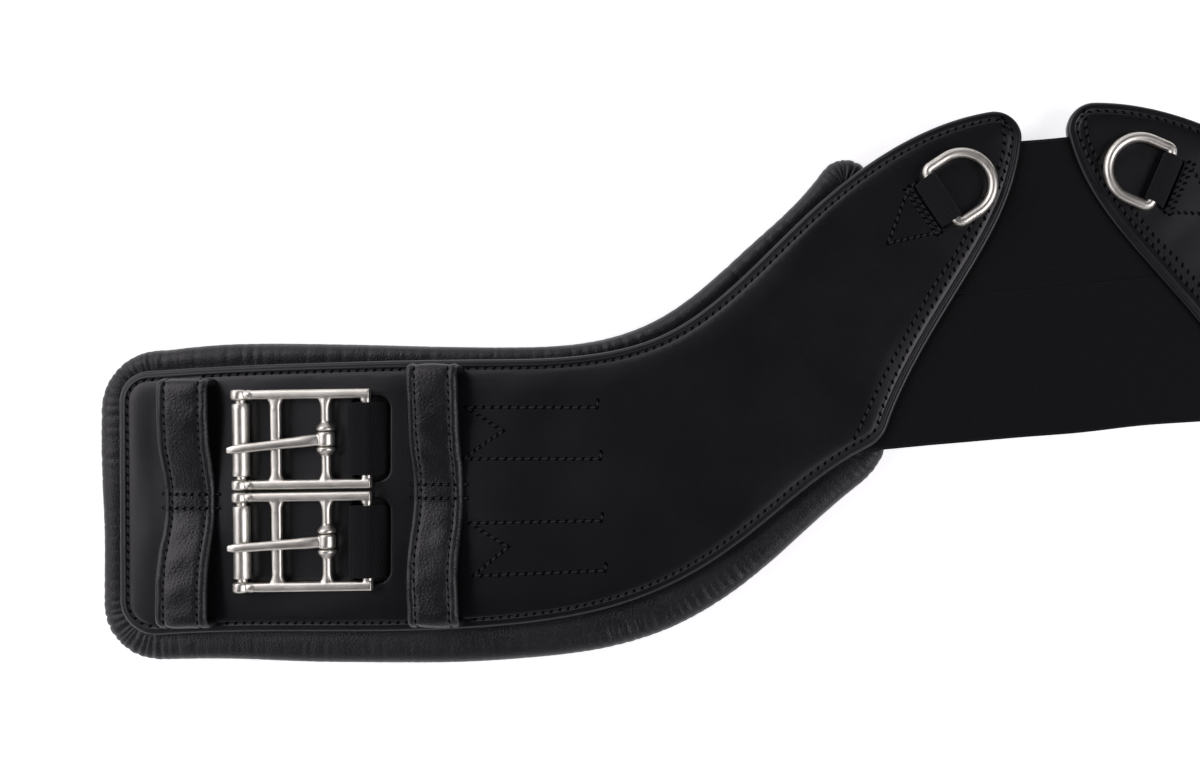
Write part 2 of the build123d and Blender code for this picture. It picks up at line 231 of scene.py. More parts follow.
def make_mesh(name, points, faces, mirrored=False):
    """A mesh object in metres, smooth shaded, from points in mm."""
    points = np.array(points, float)
    if mirrored:
        points[:, 0] *= -1
        faces = [f[::-1] for f in faces]
    mesh = bpy.data.meshes.new(name)
    mesh.from_pydata((points * MM).tolist(), [], faces)
    bm = bmesh.new()
    bm.from_mesh(mesh)
    bmesh.ops.recalc_face_normals(bm, faces=bm.faces)
    bm.to_mesh(mesh)
    bm.free()
    mesh.polygons.foreach_set("use_smooth", [True] * len(mesh.polygons))
    mesh.update()
    obj = bpy.data.objects.new(name, mesh)
    bpy.context.scene.collection.objects.link(obj)
    return obj


TRIANGLE_HEIGHT = 0.866
CAP_MARGIN = 0.55
SAME_POINT = 1e-5


def level(z):
    """Height of a level surface, as cap takes it."""
    return lambda xy: np.full(len(xy), z)


def cap(ring, holes, spacing, height, flip=False):
    """Fills a ring of (n, 3) points, leaving the holes' rings open, at the heights that
    height(xy) gives. The rings keep their own points."""
    loops = [np.asarray(p, float) for p in [ring, *holes]]
    border = np.vstack(loops)
    lo, hi = border.min(0), border.max(0)
    rows = np.arange(lo[1], hi[1], spacing * TRIANGLE_HEIGHT)
    grid = np.array([(x, y) for k, y in enumerate(rows)
                     for x in np.arange(lo[0] + (k % 2) * spacing / 2, hi[0], spacing)])
    keep = inside(grid, loops[0][:, :2]) & (distance(grid, border[:, :2]) > spacing * CAP_MARGIN)
    for hole in loops[1:]:
        keep &= ~inside(grid, hole[:, :2])
    grid = grid[keep]
    given = np.vstack([border, np.column_stack([grid, height(grid)])])
    edges, first = [], 0
    for loop in loops:
        n = len(loop)
        edges += [(first + i, first + (i + 1) % n) for i in range(n)]
        first += n
    middle = given[:, :2].mean(0)
    made = delaunay_2d_cdt([Vector(p - middle) for p in given[:, :2]], edges, [], 0, SAME_POINT)
    xy = np.array([tuple(v) for v in made[0]]) + middle
    points = np.column_stack([xy, height(xy)])
    for i, source in enumerate(made[3]):
        if source:
            points[i] = given[source[0]]
    walls = {frozenset(e) for e, source in zip(made[1], made[4]) if len(source) % 2}
    faces = [tuple(f) for f in made[2]]
    sharing = {}
    for i, f in enumerate(faces):
        for k in range(3):
            sharing.setdefault(frozenset((f[k], f[k - 1])), []).append(i)
    # crossing a ring steps in or out of the leather, starting from the open air around it
    solid, front = {}, []
    for edge, pair in sharing.items():
        if len(pair) == 1 and pair[0] not in solid:
            solid[pair[0]] = edge in walls
            front.append(pair[0])
    while front:
        i = front.pop()
        f = faces[i]
        for k in range(3):
            edge = frozenset((f[k], f[k - 1]))
            for j in sharing[edge]:
                if j not in solid:
                    solid[j] = solid[i] != (edge in walls)
                    front.append(j)
    return points, [f[::-1] if flip else f for i, f in enumerate(faces) if solid[i]]


def sweep(path, wide, high, sides, power=2.0, closed=False):
    """Closed surface swept along a path. wide and high are half sizes; power over 2 squares it."""
    p = np.asarray(path, float)
    n = len(p)
    wide, high = np.broadcast_to(wide, n), np.broadcast_to(high, n)
    t = (np.roll(p, -1, 0) - np.roll(p, 1, 0)) if closed else np.gradient(p, axis=0)
    t /= np.linalg.norm(t, axis=1)[:, None]
    side = np.cross(t, (0, 0, 1))
    side /= np.linalg.norm(side, axis=1)[:, None]
    top = np.cross(side, t)
    a = np.linspace(0, 2 * np.pi, sides, endpoint=False)
    c, s = (np.sign(f(a)) * np.abs(f(a)) ** (2 / power) for f in (np.cos, np.sin))
    rows = (p[:, None] + side[:, None] * (wide[:, None] * c)[..., None]
            + top[:, None] * (high[:, None] * s)[..., None])
    return ringed(rows, closed)


def remeshed(obj, voxel, rounds):
    """Replaces an object's mesh of overlapping closed shapes by one smooth skin."""
    remesh = obj.modifiers.new("skin", "REMESH")
    remesh.mode, remesh.voxel_size = "VOXEL", voxel * MM
    even = obj.modifiers.new("even", "SMOOTH")
    even.iterations, even.factor = rounds, 0.5
    bpy.context.view_layer.update()
    graph = bpy.context.evaluated_depsgraph_get()
    mesh = bpy.data.meshes.new_from_object(obj.evaluated_get(graph))
    obj.modifiers.clear()
    co = np.empty(len(mesh.vertices) * 3)
    mesh.vertices.foreach_get("co", co)
    faces = [tuple(f.vertices) for f in mesh.polygons]
    old = obj.data
    bpy.data.objects.remove(obj)
    bpy.data.meshes.remove(old)
    bpy.data.meshes.remove(mesh)
    return co.reshape(-1, 3) / MM, faces


# -------- materials

def shader(name, **values):
    mat = bpy.data.materials.new(name)
    mat.use_nodes = True
    bsdf = mat.node_tree.nodes["Principled BSDF"]
    for key, value in values.items():
        bsdf.inputs[key.replace("_", " ")].default_value = value
    return mat, mat.node_tree, bsdf


def node(tree, kind, **values):
    made = tree.nodes.new(kind)
    for key, value in values.items():
        if key in made.inputs:
            made.inputs[key].default_value = value
        else:
            setattr(made, key, value)
    return made


def object_place(tree):
    return node(tree, "ShaderNodeTexCoord").outputs["Object"]


def noise(tree, scale, detail, rough=0.55):
    n = node(tree, "ShaderNodeTexNoise", Scale=scale, Detail=detail, Roughness=rough)
    tree.links.new(object_place(tree), n.inputs["Vector"])
    return n.outputs["Fac"]


def cells(tree, scale):
    """Distance from the borders of a pattern of cells."""
    v = node(tree, "ShaderNodeTexVoronoi", Scale=scale, feature="DISTANCE_TO_EDGE")
    tree.links.new(object_place(tree), v.inputs["Vector"])
    return v.outputs["Distance"]


def ramp(tree, value, stops):
    """Colour between two stops, each (position, colour)."""
    r = tree.nodes.new("ShaderNodeValToRGB")
    tree.links.new(value, r.inputs["Fac"])
    for element, (at, colour) in zip(r.color_ramp.elements, stops):
        element.position = at
        element.color = (*colour, 1)
    return r.outputs["Color"]


def spread(tree, value, low, high):
    """Maps the middle of a noise's range, where most of it lies, to low and high."""
    m = node(tree, "ShaderNodeMapRange")
    for key, v in (("From Min", 0.3), ("From Max", 0.7), ("To Min", low), ("To Max", high)):
        m.inputs[key].default_value = v
    tree.links.new(value, m.inputs["Value"])
    return m.outputs["Result"]


def bump(tree, bsdf, layers):
    """Stacks height fields, each (value, depth in mm), into the shader's normal."""
    last = None
    for value, depth in layers:
        b = node(tree, "ShaderNodeBump", Distance=depth * MM)
        tree.links.new(value, b.inputs["Height"])
        if last:
            tree.links.new(last, b.inputs["Normal"])
        last = b.outputs["Normal"]
    tree.links.new(last, bsdf.inputs["Normal"])


def leather(name, dark, light, rough, grain_mm, grain_depth, crease_depth):
    """Dyed leather: cell-like grain, fine creases and patchy gloss."""
    mat, tree, bsdf = shader(name, Specular_IOR_Level=0.5)
    tone = ramp(tree, noise(tree, 28, 4), [(0.3, dark), (0.75, light)])
    tree.links.new(tone, bsdf.inputs["Base Color"])
    tree.links.new(spread(tree, noise(tree, 60, 5), *rough), bsdf.inputs["Roughness"])
    grain = ramp(tree, cells(tree, 1000 / grain_mm), [(0.0, (0, 0, 0)), (0.32, (1, 1, 1))])
    crease = noise(tree, 230, 6, 0.7)
    bump(tree, bsdf, [(grain, grain_depth), (crease, crease_depth)])
    return mat


def ribbed(name, dark, light, pitch_mm, angle):
    """Matte elastic or webbing: fine cords across one direction, with the weave's cross threads."""
    mat, tree, bsdf = shader(name, Roughness=0.92, Specular_IOR_Level=0.22, Sheen_Weight=0.06)
    turn = node(tree, "ShaderNodeMapping")
    turn.inputs["Rotation"].default_value = (0, 0, angle)
    tree.links.new(object_place(tree), turn.inputs["Vector"])
    waves = []
    for direction, pitch in (("X", pitch_mm * 0.55), ("Y", pitch_mm)):
        w = node(tree, "ShaderNodeTexWave", Scale=math.pi / (pitch * MM) / 10, bands_direction=direction)
        w.inputs["Distortion"].default_value = 0.35
        tree.links.new(turn.outputs["Vector"], w.inputs["Vector"])
        waves.append(w.outputs["Fac"])
    both = node(tree, "ShaderNodeMath", operation="MULTIPLY")
    tree.links.new(waves[0], both.inputs[0])
    tree.links.new(waves[1], both.inputs[1])
    tree.links.new(ramp(tree, both.outputs[0], [(0.0, dark), (1.0, light)]), bsdf.inputs["Base Color"])
    bump(tree, bsdf, [(both.outputs[0], 0.12), (noise(tree, 900, 3), 0.04)])
    return mat


def metal(name):
    """Satin stainless steel with a warm cast, fine scuffs and soft dull patches."""
    mat, tree, bsdf = shader(name, Metallic=1.0)
    tone = ramp(tree, noise(tree, 90, 4), [(0.3, (0.70, 0.68, 0.605)), (0.7, (0.84, 0.82, 0.74))])
    tree.links.new(tone, bsdf.inputs["Base Color"])
    tree.links.new(spread(tree, noise(tree, 260, 5), 0.34, 0.44), bsdf.inputs["Roughness"])
    bump(tree, bsdf, [(noise(tree, 700, 3, 0.5), 0.004), (noise(tree, 180, 2), 0.02)])
    return mat


def speckled(name, dark, light, scale, roughness, specular):
    """A dull material whose tone varies finely."""
    mat, tree, bsdf = shader(name, Roughness=roughness, Specular_IOR_Level=specular)
    tone = ramp(tree, noise(tree, scale, 2), [(0.3, dark), (0.7, light)])
    tree.links.new(tone, bsdf.inputs["Base Color"])
    return mat


PANEL_LEATHER = leather("panel_leather", (0.0016, 0.0013, 0.0022), (0.0023, 0.0019, 0.0030),
                        (0.335, 0.365), 0.55, 0.012, 0.012)
KEEPER_LEATHER = leather("keeper_leather", (0.0026, 0.0022, 0.0030), (0.0046, 0.0040, 0.0051),
                         (0.34, 0.44), 1.3, 0.05, 0.07)
LINER_LEATHER = leather("liner_leather", (0.0030, 0.0026, 0.0036), (0.0052, 0.0046, 0.0060),
                        (0.38, 0.50), 0.95, 0.06, 0.08)
EDGE_LEATHER = leather("edge_leather", (0.004, 0.0035, 0.0042), (0.009, 0.008, 0.009),
                       (0.5, 0.7), 0.5, 0.05, 0.06)
CENTRE_RIBS = ribbed("centre_ribs", (0.0012, 0.0012, 0.0016), (0.0040, 0.0040, 0.0048), 1.0, 0.0)
BUCKLE_RIBS = ribbed("buckle_ribs", (0.0030, 0.0030, 0.0036), (0.0090, 0.0088, 0.0100), 0.8,
                     ARM_TILT + math.pi / 2)
TAPE_WEAVE = ribbed("tape_weave", (0.0035, 0.0035, 0.0042), (0.0110, 0.0108, 0.0120), 0.9, D_ANGLE)
THREAD = speckled("thread", (0.006, 0.0055, 0.007), (0.013, 0.012, 0.015), 900, 0.62, 0.4)
# painted shade: a dark, dull colour for the beads that stand in for the shade inside each stitch hole
PAINTED_HOLE_SHADE = speckled("stitch_hole_painted_shade", (0.0012, 0.0011, 0.0013), (0.002, 0.002, 0.0022), 500, 1.0, 0.05)
STEEL = metal("satin_steel")


def finish_piece(obj, material, body=None, replaces=(), blend=None):
    obj.data.materials.append(material)
    if blend:
        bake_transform(obj)
    else:
        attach(obj, body)
    if replaces:
        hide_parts(*replaces)
    return obj


def both_sides(name, shape, material, body=None, stands_for=(), blend=None):
    """A piece of the left half and its mirror image on the right. Returns both objects."""
    made = []
    for side, sign in SIDES.items():
        obj = make_mesh(f"{side}_{name}", *shape, mirrored=sign < 0)
        nodes = [f"{side}_{n}" for n in stands_for]
        across = None
        if blend:
            a, b, start, end = blend
            start, end = ([p[0] * sign * MM, p[1] * MM, p[2] * MM] for p in (start, end))
            across = (a.format(side=side), b.format(side=side), start, end)
        finish_piece(obj, material, body and body.format(side=side), nodes, across)
        made.append(obj)
    return made


RIPPLE_WAVES = 7


def ripple(xy, size, seed):
    """Smooth random field, about -1 to 1, with waves about size mm long."""
    rng = random.Random(seed)
    xy = np.atleast_2d(xy)
    total = np.zeros(len(xy))
    for _ in range(RIPPLE_WAVES):
        a, phase = rng.uniform(0, math.tau), rng.uniform(0, math.tau)
        k = math.tau / size * rng.uniform(0.6, 1.5)
        total += np.sin(k * (xy[:, 0] * math.cos(a) + xy[:, 1] * math.sin(a)) + phase)
    return total / (1.3 * math.sqrt(RIPPLE_WAVES))


def ease(t):
    """From 0 to 1 with a soft start and end."""
    t = np.clip(t, 0, 1)
    return t * t * (3 - 2 * t)


# -------- outlines shared by the layers

EDGE_STEP = 0.7

panel_loops = slice_loops("left_top_panel", (CORE_TOP + PANEL_TOP) / 2)
panel_edge = smooth(resample(panel_loops[0], EDGE_STEP), 3)
liner_edge = smooth(resample(slice_loops("left_liner_cover", LINER_TOP / 2)[0], EDGE_STEP), 10)


# -------- padded liner

LINER_MID = 4.7
RIM_DEPTH = 5.6
LINER_SEAM = 8.8
LINER_PUFF = 0.8
RIM_ROUND = 0.85
FINE_CREASES = 620

# where the soft leather is gathered: point on the edge, reach along it, spacing, depth in mm
GATHERS = [((-327, -70), 24, 3.0, 0.85), ((-321, 22), 24, 2.9, 0.8), ((-66, 74), 17, 2.9, 0.9),
           ((-63, -28), 15, 3.0, 0.7), ((-150, -82), 26, 3.3, 0.45), ((-118, -69), 16, 3.4, 0.4),
           ((-150, 21), 18, 3.6, 0.3), ((-98, 52), 20, 4.2, 0.35)]


def liner_top(xy):
    """Height of the liner: flat under the panel, pinched at its edge and puffed outside it."""
    away = distance(xy, panel_edge)
    away[inside(xy, panel_edge)] = 0
    return LINER_SEAM + LINER_PUFF * np.sin(np.clip(away / 4.5, 0, 1) * math.pi / 2)


def liner_under(xy):
    """Height of the side that lies on the horse, barely dimpled."""
    away = distance(xy, liner_edge)
    return 0.02 + (0.22 + 0.2 * ripple(xy, 45, 8)) * ease((away - RIM_DEPTH) / 12)


def gathers(loop):
    """Depth of the pleats and creases at each point of the liner's edge."""
    rng = random.Random(11)
    n, around = len(loop), perimeter(loop)
    s = np.arange(n) * around / n
    depth = np.zeros(n)

    def valley(at, width, amount):
        gap = np.abs(s - at)
        gap = np.minimum(gap, around - gap)
        return amount * np.exp(-(gap / width) ** 2)

    for point, reach, spacing, amount in GATHERS:
        middle = s[np.argmin(np.linalg.norm(loop - np.array(point), axis=1))]
        at = middle - reach
        while at < middle + reach:
            fade = math.cos((at - middle) / reach * math.pi / 2) ** 0.7
            depth += valley(at % around, rng.uniform(0.5, 0.85), amount * fade * rng.uniform(0.5, 1.15))
            at += spacing * rng.uniform(0.65, 1.35)
    for _ in range(FINE_CREASES):
        depth += valley(rng.uniform(0, s[-1]), rng.uniform(0.35, 0.6), rng.uniform(0.03, 0.13))
    return depth


def make_liner():
    edge_out = normals2(liner_edge)
    pleat = gathers(liner_edge)
    sway = ripple(liner_edge, 60, 3) * 0.35
    rows = []
    for a in np.radians(np.linspace(-90, 90, 21)):
        c, s = abs(math.cos(a)) ** RIM_ROUND, math.copysign(abs(math.sin(a)) ** RIM_ROUND, a)
        xy = liner_edge - edge_out * (RIM_DEPTH * (1 - c))
        top = liner_top(xy) if a > 0 else np.full(len(xy), 2 * LINER_MID)
        fade = ease((math.degrees(a) + 45) / 75)
        z = LINER_MID + (top - LINER_MID) * s - pleat * fade * max(0, s)
        xy = xy - edge_out * ((pleat * 0.4 * fade + 0.25 - sway * fade) * c)[:, None]
        rows.append(np.column_stack([xy, z]))
    for inset_by, keep in ((6.6, 0.75), (7.6, 0.35)):
        xy = liner_edge - edge_out * inset_by
        rows.append(np.column_stack([xy, liner_top(xy) - pleat * keep]))
    soup = Soup().grid(rows, wrap_u=True)
    soup.add(*cap(rows[-1], [], 2.2, liner_top))
    soup.add(*cap(rows[0], [], 7.0, liner_under, flip=True))
    return soup.all()


WELD_GAP = 0.002


def welded(shape):
    """Joins the doubled points of a soup."""
    points, faces = shape
    keys = np.round(points / WELD_GAP).astype(np.int64)
    _, first, back = np.unique(keys, axis=0, return_index=True, return_inverse=True)
    back = back.ravel()
    out = []
    for f in faces:
        g = [int(back[i]) for i in f]
        g = [i for k, i in enumerate(g) if i != g[k - 1]]
        if len(g) > 2:
            out.append(tuple(g))
    return points[first], out


for liner in both_sides("padded_liner", welded(make_liner()), LINER_LEATHER,
                        "{side}_half", ("liner_cover", "foam_pad")):
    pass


# -------- top panel and backing

# how the top panel's border is pressed down and creased: distance from the edge, height
BORDER = np.array([(0.0, 12.9), (0.12, 13.5), (0.4, 13.95), (0.85, 14.25), (1.25, 14.36), (1.55, 14.28),
                   (1.85, 14.38), (2.15, 14.42), (2.45, 14.38), (2.7, 14.26), (3.4, 14.26), (3.65, 14.4),
                   (4.0, 14.54), (5.0, 14.68), (7.0, 14.82), (10.0, 14.92)])
BORDER_RINGS = 13
HOLE_BORDER = 5.6
PANEL_UNDER = BACKING_TOP + 0.03


def panel_top(xy):
    """Height of the top panel's surface."""
    away = distance(xy, panel_edge)
    swell = 0.30 * ripple(xy, 60, 21) + 0.05 * ripple(xy, 16, 22)
    return np.interp(away, BORDER[:, 0], BORDER[:, 1]) + swell * ease((away - 3) / 9)


def make_panel():
    out = normals2(panel_edge)
    rows = [np.column_stack([panel_edge - out * d, np.full(len(out), z)])
            for d, z in ((1.2, PANEL_UNDER), (0.4, PANEL_UNDER + 0.1), (0.08, PANEL_UNDER + 0.6),
                         (0.0, PANEL_UNDER + 1.4))]
    for d, _ in BORDER[:BORDER_RINGS]:
        xy = panel_edge - out * d
        rows.append(np.column_stack([xy, panel_top(xy)]))
    soup = Soup().grid(rows, wrap_u=True)
    holes_top, holes_low = [], []
    for loop in panel_loops[1:]:
        if distance(loop, panel_edge).min() < HOLE_BORDER:
            continue  # a keeper's slot in the border, filled by its strap
        ring = smooth(resample(loop, 0.6), 1)
        away = normals2(ring)
        wall = [np.column_stack([ring, np.full(len(ring), PANEL_UNDER)])]
        for grow, drop in ((0.0, 0.75), (0.06, 0.4), (0.22, 0.16), (0.5, 0.03), (0.9, 0.0)):
            xy = ring + away * grow
            wall.append(np.column_stack([xy, panel_top(xy) - drop]))
        soup.grid(wall[::-1], wrap_u=True)
        holes_top.append(wall[-1])
        holes_low.append(wall[0])
    soup.add(*cap(rows[-1], holes_top, 1.3, panel_top))
    soup.add(*cap(rows[0], holes_low, 8.0, level(PANEL_UNDER), flip=True))
    return soup.all()


PLATE_ROUND = 0.45


def make_plate(edge, low, high):
    """Flat leather layer with rounded edges."""
    out = normals2(edge)
    r = PLATE_ROUND
    side = [(r, low), (r * 0.3, low + r * 0.3), (0, low + r),
            (0, high - r), (r * 0.3, high - r * 0.3), (r, high)]
    rows = [np.column_stack([edge - out * d, np.full(len(out), z)]) for d, z in side]
    soup = Soup().grid(rows, wrap_u=True)
    for row, flip in ((rows[0], True), (rows[-1], False)):
        soup.add(*cap(row, [], 9.0, level(row[0, 2]), flip=flip))
    return soup.all()


both_sides("top_leather", welded(make_panel()), PANEL_LEATHER, "{side}_half",
           ("top_panel", "interlining"))
both_sides("backing_plate", welded(make_plate(offset_loop(panel_edge, -0.25), LINER_TOP, BACKING_TOP)),
           EDGE_LEATHER, "{side}_half", ("backing_leather",))


# -------- strap keepers

KEEPER_HALF, KEEPER_THICK, KEEPER_TOP = 8.25, 2.4, 22.3
KEEPER_SEAM = 5.45
KEEPER_LEAN = 1.2
KEEPERS = {"outer": {"u": 25.3, "front": 41.6, "rear": -40.8, "sewn": (3.3, -1.3), "over": 0.0},
           "inner": {"u": 107.8, "front": 45.8, "rear": -40.6, "sewn": (6.6, 2.0), "over": 1.2}}
# top and bottom of the strap's section: distance across, height from the middle
STRAP_TOP = np.array([(-8.25, 0.0), (-8.1, 0.55), (-7.75, 0.95), (-7.2, 1.2), (-6.6, 1.27), (-6.0, 1.18),
                      (-5.65, 0.98), (-5.45, 0.9), (-5.25, 0.98), (-4.8, 1.16), (-3.6, 1.28), (-1.8, 1.34)])
STRAP_TOP = np.vstack([STRAP_TOP, [(0, 1.36)], STRAP_TOP[::-1] * (-1, 1)])
STRAP_LOW = np.array([(8.0, -0.65), (7.4, -1.1), (6.5, -1.2), (3.0, -1.2), (0, -1.2), (-3.0, -1.2),
                      (-6.5, -1.2), (-7.4, -1.1), (-8.0, -0.65)])


def keeper_line(keeper):
    """Middle line of the strap in the arm's (y, z), from the front slot to the rear one."""
    half = KEEPER_THICK / 2
    high, sewn = KEEPER_TOP - half, PANEL_TOP + half + 0.05
    sides = []
    ends = zip((keeper["front"], keeper["rear"]), keeper["sewn"], (1, -1))
    for end, start, way in ends:
        leg = end - way * half
        sides.append([(leg, 11.6), (leg, 15.5), (leg + way * 0.15, 18.6), (leg - way * 0.7, 20.4),
                      (leg - way * 2.6, high - 0.05), (leg - way * 6.0, high),
                      (start + way * 25, high - 0.35), (start + way * 16, high - 1.7),
                      (start + way * 8, sewn + 1.2), (start + way * 2.5, sewn + 0.15), (start, sewn)])
    return curve(sides[0] + sides[1][::-1], 0.55)


class Strap:
    """The keeper's surface: a point at a distance along it and across it."""

    def __init__(self, keeper, seed):
        line = keeper_line(keeper)
        self.u, self.over, self.front = keeper["u"], keeper["over"], keeper["front"]
        self.line = line
        self.s = np.r_[0, np.cumsum(np.linalg.norm(np.diff(line, axis=0), axis=1))]
        t = np.gradient(line, axis=0)
        t /= np.linalg.norm(t, axis=1)[:, None]
        self.up = np.column_stack([t[:, 1], -t[:, 0]])
        self.seed = seed

    def at(self, s, across, height):
        """Points in the shared frame; s, across and height broadcast together."""
        s, across, height = np.broadcast_arrays(np.asarray(s, float), across, height)
        y, z = (np.interp(s, self.s, self.line[:, k]) for k in (0, 1))
        ny, nz = (np.interp(s, self.s, self.up[:, k]) for k in (0, 1))
        crumple = 0.13 * ripple(np.column_stack([s.ravel() * 0.8, across.ravel() + 40]), 9, self.seed)
        crumple = crumple.reshape(s.shape) * ease((z - 15) / 3) * (height > 0)
        y = y + ny * (height + crumple)
        z = z + nz * (height + crumple)
        raised = ease((z - 15.5) / 6.5)
        sway = 0.35 * ripple(np.column_stack([s.ravel(), s.ravel() * 0]), 45, self.seed + 1)
        x = self.u + across * (1 + 0.025 * raised) - (KEEPER_LEAN + sway.reshape(s.shape)) * raised
        bulge = self.over * raised * ease((y - self.front + 9) / 8)
        return ARM.out(np.stack([x, y + bulge, z], -1))

    def where(self, y):
        """Distance along the strap at which its middle line passes y on the top side."""
        high = self.line[:, 1] > PANEL_TOP
        return float(np.interp(-y, -self.line[high, 0], self.s[high]))


def make_keeper(strap):
    section = np.vstack([STRAP_TOP, STRAP_LOW])
    rows = strap.at(strap.s[:, None], section[None, :, 0], section[None, :, 1])
    return ringed(rows[:, ::-1])


STRAPS = {name: Strap(keeper, 50 + i) for i, (name, keeper) in enumerate(KEEPERS.items())}
for name, strap in STRAPS.items():
    both_sides(f"{name}_keeper_strap", make_keeper(strap), KEEPER_LEATHER,
               "{side}_half", (f"{name}_keeper",))


# -------- stitching

PITCH = 2.85
THREAD_RADIUS = 0.3
# size of the flat dark bead painted as the shade of a stitch hole
HOLE_SHADE_SIZE = (0.92, 0.56, 0.09)


def ellipsoid(sides=8, rings=5):
    """A ball of radius 1, to be scaled into threads, the dark beads of painted hole shade, and nubs."""
    a = np.linspace(0, 2 * np.pi, sides, endpoint=False)
    b = np.linspace(-np.pi / 2, np.pi / 2, rings + 2)[1:-1]
    rows = [np.column_stack([np.cos(a) * math.cos(t), np.sin(a) * math.cos(t), np.full(sides, math.sin(t))])
            for t in b]
    return ringed(rows)


def in_any(p, loops):
    return any(inside(p[None, :2], loop)[0] for loop in loops)


BEAD = ellipsoid()


class Stitches:
    """Threads, and the dark beads that paint the shade of the holes they go through, gathered from many
    rows.
    """

    def __init__(self):
        self.threads, self.holes = Soup(), Soup()
        self.random = random.Random(5)

    def shape(self, soup, centre, along, up, sizes):
        along = along / np.linalg.norm(along)
        side = np.cross(up, along)
        side /= np.linalg.norm(side)
        lift = np.cross(along, side)
        points = BEAD[0] * sizes
        soup.add(centre + points @ np.array([along, side, lift]), BEAD[1])

    def row(self, line, slant, up=(0, 0, 1), pitch=PITCH, clear=()):
        """Stitches along a line of (n, 3) points. up is one normal, or one for each point."""
        line = np.asarray(line, float)
        s = np.r_[0, np.cumsum(np.linalg.norm(np.diff(line, axis=0), axis=1))]
        count = max(1, int(round(s[-1] / pitch)))
        at = np.linspace(0, s[-1], count + 1)
        where = np.stack([np.interp(at, s, line[:, k]) for k in range(3)], 1)
        ups = np.broadcast_to(up, line.shape)
        ups = np.stack([np.interp(at, s, ups[:, k]) for k in range(3)], 1)
        for k, (p, n) in enumerate(zip(where, ups)):
            if in_any(p, clear):
                continue
            t = where[min(k + 1, count)] - where[max(k - 1, 0)]
            t = t / np.linalg.norm(t)
            side = np.cross(n, t)
            turn = slant + self.random.uniform(-0.12, 0.12)
            # each hole is a flat dark bead just above the surface, painted shade standing in for the sunken
            # hole
            self.shape(self.holes, p + n * 0.02, t * math.cos(turn) + side * math.sin(turn), n,
                       HOLE_SHADE_SIZE)
            if k < count:
                q = where[k + 1]
                if in_any(q, clear):
                    continue
                middle = (p + q) / 2 + side * self.random.uniform(-0.05, 0.05) - n * 0.04
                along = (q - p) + side * math.sin(turn) * 0.5
                self.shape(self.threads, middle, along, n,
                           (pitch * 0.46, THREAD_RADIUS, THREAD_RADIUS * 0.85))


ROW_STEP = 0.6


def on_panel(xy):
    """Points just clear of the top panel's surface."""
    xy = np.asarray(xy, float)
    return np.column_stack([xy, panel_top(xy) + 0.02])


def straight(a, b):
    return resample(np.array([a, b], float), ROW_STEP, closed=False)


BORDER_ROW = 3.05
INNER_ROW = [(-72.1, -19.7), (-59.5, 1.6), (-42.6, 26.9), (-30.9, 41.9), (-15.5, 68.3), (-13.6, 82.2)]
# rows that hold the buckle elastics' tails, and the chevron between each pair
ANCHORS = [[((-200.4, 1.7), (-156.9, -2.1)), ((-202.9, -15.3), (-157.4, -19.3)), (-188.8, -7.2)],
           [((-202.4, -36.9), (-158.8, -39.9)), ((-202.9, -54.5), (-159.0, -56.6)), (-190.5, -45.9)]]
TAPE_TRIANGLE = [(-46.8, 62.0), (-37.5, 46.2), (-55.4, 44.0)]
SLANT_PANEL, SLANT_STRAP = 0.62, 0.3
SLANT_INSET = 2.0


def stitch_panel():
    stitches = Stitches()
    slots = [offset_loop(resample(loop, 0.8), 0.7) for loop in panel_loops[1:]]
    # by the centre elastic the border row runs further in, straight along the inner row
    start, end = np.array(INNER_ROW[0]), np.array(INNER_ROW[-1])
    run = (end - start) / np.linalg.norm(end - start)
    beyond = panel_edge - start
    along = beyond @ run / np.linalg.norm(end - start)
    aside = beyond @ np.array([run[1], -run[0]])
    slanted = (aside > 0) & (along > 0) & (along < 1)
    inset = BORDER_ROW + SLANT_INSET * np.where(slanted, np.sin(np.clip(along, 0, 1) * math.pi) ** 0.6, 0)
    border = resample(panel_edge - normals2(panel_edge) * smooth(inset[:, None], 40), ROW_STEP)
    border = np.vstack([border, border[:1]])
    stitches.row(on_panel(border), SLANT_PANEL, clear=slots)
    stitches.row(on_panel(curve(INNER_ROW)), SLANT_PANEL)
    for first, second, point in ANCHORS:
        for a, b in (first, second):
            stitches.row(on_panel(straight(a, b)), SLANT_PANEL)
            tail = np.array(b) + (0.6, 2.2)
            stitches.row(on_panel(straight(b, tail)), SLANT_PANEL, pitch=2.2)
        for a in (first[0], second[0]):
            stitches.row(on_panel(straight(a, point)), SLANT_PANEL, pitch=2.5)
    a, b, c = TAPE_TRIANGLE
    for p, q in ((a, b), (b, c), (c, a)):
        stitches.row(on_panel(straight(p, q)), SLANT_PANEL, pitch=2.4)
    beside = np.array([-1.5, -0.9])
    stitches.row(on_panel(straight(a + beside, b + beside)), SLANT_PANEL, pitch=2.4)
    return stitches


def stitch_keeper(strap, keeper):
    stitches = Stitches()
    for across in (-KEEPER_SEAM, KEEPER_SEAM):
        s = np.arange(5.2, strap.s[-1] - 5.2, 0.5)
        line = strap.at(s, across, 0.96)
        up = strap.at(s, across, 1.96) - line
        stitches.row(line, SLANT_STRAP, up, pitch=2.7)
    for y in keeper["sewn"]:
        s = strap.where(y)
        across = np.linspace(-KEEPER_HALF - 1.3, KEEPER_HALF + 1.3, 60)
        top = np.interp(across, STRAP_TOP[:, 0], STRAP_TOP[:, 1], left=-1.1, right=-1.1)
        stitches.row(strap.at(s, across, top), SLANT_STRAP, pitch=2.5)
    return stitches


